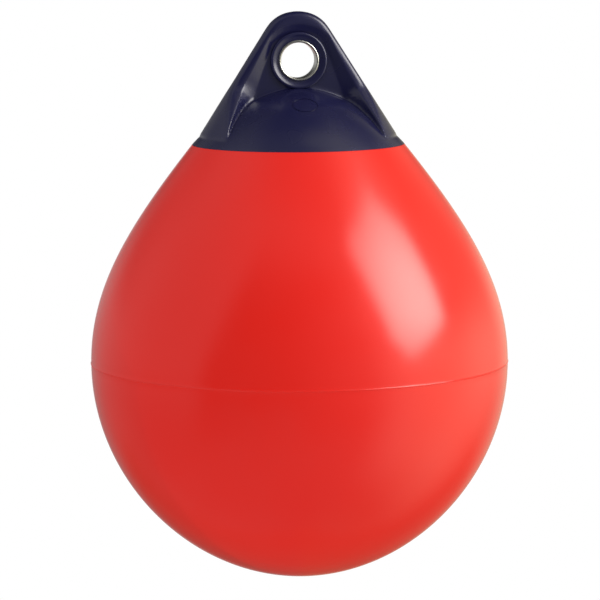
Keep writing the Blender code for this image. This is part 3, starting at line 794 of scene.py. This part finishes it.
# background paper: matt, with a fibre too faint to see from far off
white_paper = new_material("white_paper")
tree = white_paper.node_tree
place = add_node(tree, "ShaderNodeTexCoord", {}, {})
fibre = add_node(tree, "ShaderNodeTexNoise", {"Scale": 1 / PAPER_FIBRE, "Detail": 3.0},
                 {"Vector": (place, "Object")})
bump = add_node(tree, "ShaderNodeBump", {"Strength": 0.1, "Distance": 0.0001}, {"Height": (fibre, "Fac")})
shader = add_node(tree, "ShaderNodeBsdfDiffuse", {"Color": PAPER_WHITE}, {"Normal": (bump, "Normal")})
# clear from below, so that a view from there still shows the buoy
side_seen = add_node(tree, "ShaderNodeNewGeometry", {}, {})
clear = add_node(tree, "ShaderNodeBsdfTransparent", {}, {})
one_sided = add_node(tree, "ShaderNodeMixShader", {},
                     {"Fac": (side_seen, "Backfacing"), 1: (shader, "BSDF"), 2: (clear, "BSDF")})
add_node(tree, "ShaderNodeOutputMaterial", {}, {"Surface": (one_sided, "Shader")})
floor.data.materials.append(white_paper)

world = bpy.data.worlds.new("studio")
bpy.context.scene.world = world
world.use_nodes = True
tree = world.node_tree
tree.nodes.clear()

# azimuth and elevation of each direction, in degrees from the camera's side, and the azimuth once
# more with the lean of the dark gap's edge
DARK_EDGE_SLANT = -0.3
way = add_node(tree, "ShaderNodeTexCoord", {}, {})
turned_way = add_node(tree, "ShaderNodeMapping", {"Rotation": (0.0, 0.0, pi / 2 - CAMERA_AZIMUTH)},
                      {"Vector": (way, "Generated")})
parts = add_node(tree, "ShaderNodeSeparateXYZ", {}, {"Vector": (turned_way, "Vector")})
around_it = add_node(tree, "ShaderNodeMath", {"operation": "ARCTAN2"}, {0: (parts, "Y"), 1: (parts, "X")})
azimuth = add_node(tree, "ShaderNodeMath", {"operation": "MULTIPLY", 1: 180 / pi}, {0: (around_it, "Value")})
upward = add_node(tree, "ShaderNodeMath", {"operation": "ARCSINE"}, {0: (parts, "Z")})
elevation = add_node(tree, "ShaderNodeMath", {"operation": "MULTIPLY", 1: 180 / pi}, {0: (upward, "Value")})
slant = add_node(tree, "ShaderNodeMath", {"operation": "MULTIPLY_ADD", 1: DARK_EDGE_SLANT},
                 {0: (elevation, "Value"), 2: (azimuth, "Value")})
aback = add_node(tree, "ShaderNodeMath", {"operation": "ABSOLUTE"}, {0: (azimuth, "Value")})

# the walls that the gloss mirrors: each zone takes a share of the light so far or adds its own
# radiance, between soft edges, each of them an angle and where it goes from none to full
zones = (
    ("adds", 0.20, ((azimuth, 20, 110),)),
    ("takes", 0.98, ((slant, -60, -46), (azimuth, 50, -10), (elevation, -45, -8), (elevation, 64, 38))),
    ("takes", 0.60, ((elevation, 5, -30),)),
    ("takes", 0.60, ((elevation, 56, 75),)),
    ("takes", 0.88, ((aback, 95, 150), (elevation, 27, 42))),
    ("takes", 0.95, ((aback, 148, 166), (elevation, -2, 10))),
    ("takes", 0.60, ((azimuth, -105, -140), (elevation, 2, 16), (elevation, 46, 32))),
    ("takes", 0.35, ((azimuth, 105, 140), (elevation, -4, 10))),
    ("adds", 0.30, ((aback, 95, 135), (elevation, -8, -26))),
    ("adds", 1.10, ((azimuth, 32, 68), (azimuth, 140, 105), (elevation, -68, -28), (elevation, 20, 0))),
    ("adds", 0.30, ((azimuth, 105, 130), (azimuth, 174, 160), (elevation, -45, -20), (elevation, 14, 0))),
    ("adds", 0.40, ((azimuth, 50, 85), (azimuth, 150, 115), (elevation, 52, 70))),
    ("adds", 0.60, ((aback, 166, 177), (elevation, -30, -8), (elevation, 4, -5))),
)
WALL_RADIANCE = 0.46
level = add_node(tree, "ShaderNodeValue", {}, {})
level.outputs["Value"].default_value = WALL_RADIANCE
for effect, amount, edges in zones:
    inside = None
    for angle, none, full in edges:
        soft = add_node(tree, "ShaderNodeMapRange",
                        {"interpolation_type": "SMOOTHSTEP",
                         "From Min": min(none, full), "From Max": max(none, full),
                         "To Min": float(none > full), "To Max": float(full > none)},
                        {"Value": (angle, "Value")})
        if inside is None:
            inside = (soft, "Result")
        else:
            both = add_node(tree, "ShaderNodeMath", {"operation": "MULTIPLY"},
                            {0: inside, 1: (soft, "Result")})
            inside = (both, "Value")
    if effect == "adds":
        level = add_node(tree, "ShaderNodeMath", {"operation": "MULTIPLY_ADD", 1: amount},
                         {0: inside, 2: (level, "Value")})
    else:
        left = add_node(tree, "ShaderNodeMath", {"operation": "MULTIPLY_ADD", 1: -amount, 2: 1.0},
                        {0: inside})
        level = add_node(tree, "ShaderNodeMath", {"operation": "MULTIPLY"},
                         {0: (left, "Value"), 1: (level, "Value")})

# a matt surface sees one even light, stronger from below, where the floor would throw it back
LIGHT_FROM_BELOW = 1.26
LIGHT_FROM_ABOVE = 0.86
ray = add_node(tree, "ShaderNodeLightPath", {}, {})
low_light = add_node(tree, "ShaderNodeMapRange",
                     {"interpolation_type": "SMOOTHSTEP", "From Min": -50.0, "From Max": 5.0,
                      "To Min": LIGHT_FROM_BELOW, "To Max": LIGHT_FROM_ABOVE},
                     {"Value": (elevation, "Value")})
plain = add_node(tree, "ShaderNodeBackground", {"Color": (1, 1, 1, 1)}, {"Strength": (low_light, "Result")})

# the gloss sees walls that are warmer towards the softbox, and low down behind the buoy its own red
# light coming back from the floor
WALL_COLOUR = (1.0, 0.99, 0.97, 1)
WARM_WALL_COLOUR = (1.0, 0.94, 0.7, 1)
RED_FLOOR_COLOUR = (1.0, 0.16, 0.1, 1)
to_lamp = add_node(tree, "ShaderNodeMapRange", {"From Min": 10.0, "From Max": 80.0},
                   {"Value": (azimuth, "Value")})
warmth = add_node(tree, "ShaderNodeMixRGB", {"Color1": WALL_COLOUR, "Color2": WARM_WALL_COLOUR},
                  {"Fac": (to_lamp, "Result")})
near_floor = add_node(tree, "ShaderNodeMapRange", {"From Min": -8.0, "From Max": -26.0},
                      {"Value": (elevation, "Value")})
red_share = add_node(tree, "ShaderNodeMapRange", {"From Min": 95.0, "From Max": 135.0, "To Max": 0.85},
                     {"Value": (aback, "Value")})
reddened = add_node(tree, "ShaderNodeMath", {"operation": "MULTIPLY"},
                    {0: (near_floor, "Result"), 1: (red_share, "Result")})
tint = add_node(tree, "ShaderNodeMixRGB", {"Color2": RED_FLOOR_COLOUR},
                {"Fac": (reddened, "Value"), "Color1": (warmth, "Color")})
mirrored = add_node(tree, "ShaderNodeBackground", {},
                    {"Color": (tint, "Color"), "Strength": (level, "Value")})
white = add_node(tree, "ShaderNodeBackground", {"Color": (1, 1, 1, 1), "Strength": 1.0}, {})
mix = add_node(tree, "ShaderNodeMixShader", {},
               {"Fac": (ray, "Is Glossy Ray"), 1: (plain, "Background"), 2: (mirrored, "Background")})
last = add_node(tree, "ShaderNodeMixShader", {},
                {"Fac": (ray, "Is Camera Ray"), 1: (mix, "Shader"), 2: (white, "Background")})
add_node(tree, "ShaderNodeOutputWorld", {}, {"Surface": (last, "Shader")})

bpy.context.scene.view_settings.view_transform = "Standard"
